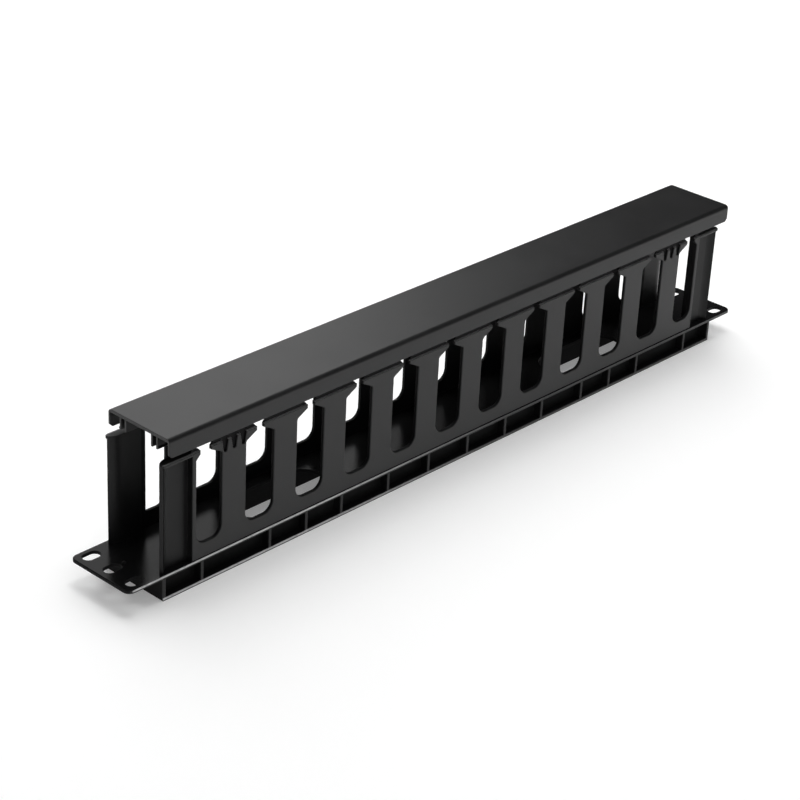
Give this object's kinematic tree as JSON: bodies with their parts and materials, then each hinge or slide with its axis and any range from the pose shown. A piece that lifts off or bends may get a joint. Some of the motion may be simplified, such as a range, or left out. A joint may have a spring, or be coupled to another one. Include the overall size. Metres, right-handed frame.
{
  "type": "horizontal cable manager",
  "caption": "Rack panel duct with two walls of T-headed cable fingers, slotted ears, a ribbed skirt behind and a clip-on cover along the front.",
  "frame": {"origin": "centre of the rack slot pattern in the front face of the ears", "axes": "+X along the 19 inch width, +Z out of the rack towards the cover, +Y across the panel height"},
  "size_m": [0.4826, 0.044, 0.0871],
  "materials": {
    "duct_body": "satin black moulded plastic",
    "cover": "satin black extruded plastic"
  },
  "bodies": {
    "duct": {"duct_body": "duct_body"},
    "cover": {"cover": "cover"}
  },
  "joints": [
    {"name": "cover_lift", "type": "slide", "parent": "duct", "child": "cover", "axis": [0, 0, 1], "range_m": [0, 0.06]}
  ]
}
